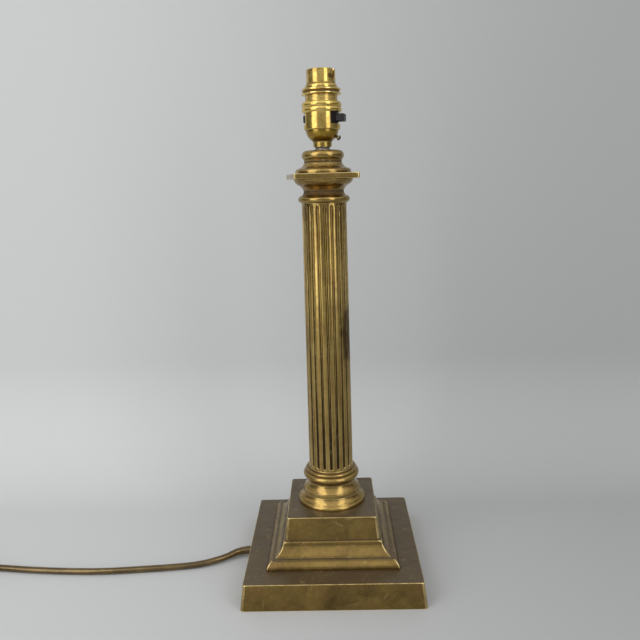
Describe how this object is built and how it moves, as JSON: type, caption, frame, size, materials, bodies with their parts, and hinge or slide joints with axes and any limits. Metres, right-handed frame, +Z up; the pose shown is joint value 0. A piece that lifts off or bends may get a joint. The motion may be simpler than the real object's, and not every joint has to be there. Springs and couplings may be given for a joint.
{
  "type": "table lamp",
  "caption": "Column table lamp with a stepped square base, a ribbed column between turned mouldings, a switched bayonet lampholder and a mains flex.",
  "frame": {"origin": "centre of the underside of the square base, on the table", "axes": "+Z up along the column; -Y is the front that the picture shows; the flex leaves towards -X"},
  "size_m": [0.5827, 0.1878, 0.4625],
  "materials": {
    "aged_brass": "aged satin with bright worn edges",
    "lampholder_brass": "polished, lightly tarnished",
    "zinc_steel": "dull zinc",
    "contact_brass": "bright",
    "spring_steel": "bright",
    "bakelite": "satin",
    "black_bush": "matte",
    "fibre_board": "matte",
    "baize": "felt",
    "gold_flex": "satin",
    "brown_sleeve": "gloss",
    "blue_sleeve": "gloss",
    "plug_plastic": "satin",
    "fuse_ceramic": "matte",
    "clamp_fibre": "matte"
  },
  "bodies": {
    "stand": {"stepped_base": "aged_brass", "base_board": "fibre_board", "baize_sheet": "baize", "cord_bush": "black_bush", "tie_rod": "zinc_steel", "rod_washer": "zinc_steel", "rod_nut": "zinc_steel", "column_foot": "aged_brass", "reeded_column": "aged_brass", "capital": "aged_brass", "abacus_plate": "aged_brass", "top_cap": "aged_brass", "holder_nipple": "zinc_steel", "holder_cup": "lampholder_brass", "cup_screw": "lampholder_brass", "holder_skirt": "lampholder_brass", "union_ring": "lampholder_brass", "bulb_barrel": "lampholder_brass", "switch_block": "bakelite", "plunger_spring_right": "spring_steel", "plunger_spring_left": "spring_steel", "terminal_posts": "contact_brass", "terminal_screws": "contact_brass", "neutral_core": "blue_sleeve", "live_core": "brown_sleeve", "inner_flex": "gold_flex", "flex_cord": "gold_flex", "flex_coil": "gold_flex", "flex_tail": "gold_flex", "plug_cover": "plug_plastic", "plug_base": "plug_plastic", "plug_line_pins": "contact_brass", "plug_earth_pin": "contact_brass", "plug_fuse": "fuse_ceramic", "plug_cord_clamp": "clamp_fibre", "plug_screws": "zinc_steel"},
    "shade_ring": {"shade_ring": "lampholder_brass"},
    "push_bar": {"push_bar": "bakelite"},
    "plunger_left": {"plunger_left": "contact_brass"},
    "plunger_right": {"plunger_right": "contact_brass"}
  },
  "joints": [
    {"name": "shade_ring_turn", "type": "hinge", "parent": "stand", "child": "shade_ring", "pos_m": [0, 0, 0.4441], "axis": [0, 0, 1], "continuous": true},
    {"name": "push_bar_slide", "type": "slide", "parent": "stand", "child": "push_bar", "axis": [0.9563, -0.2924, 0], "range_m": [-0.005, 0]},
    {"name": "plunger_left_press", "type": "slide", "parent": "stand", "child": "plunger_left", "axis": [0, 0, 1], "range_m": [-0.0035, 0], "stiffness_N_per_m": 700, "springref_m": 0.001, "deforming": ["plunger_spring_left"]},
    {"name": "plunger_right_press", "type": "slide", "parent": "stand", "child": "plunger_right", "axis": [0, 0, 1], "range_m": [-0.0035, 0], "stiffness_N_per_m": 700, "springref_m": 0.001, "deforming": ["plunger_spring_right"]}
  ]
}
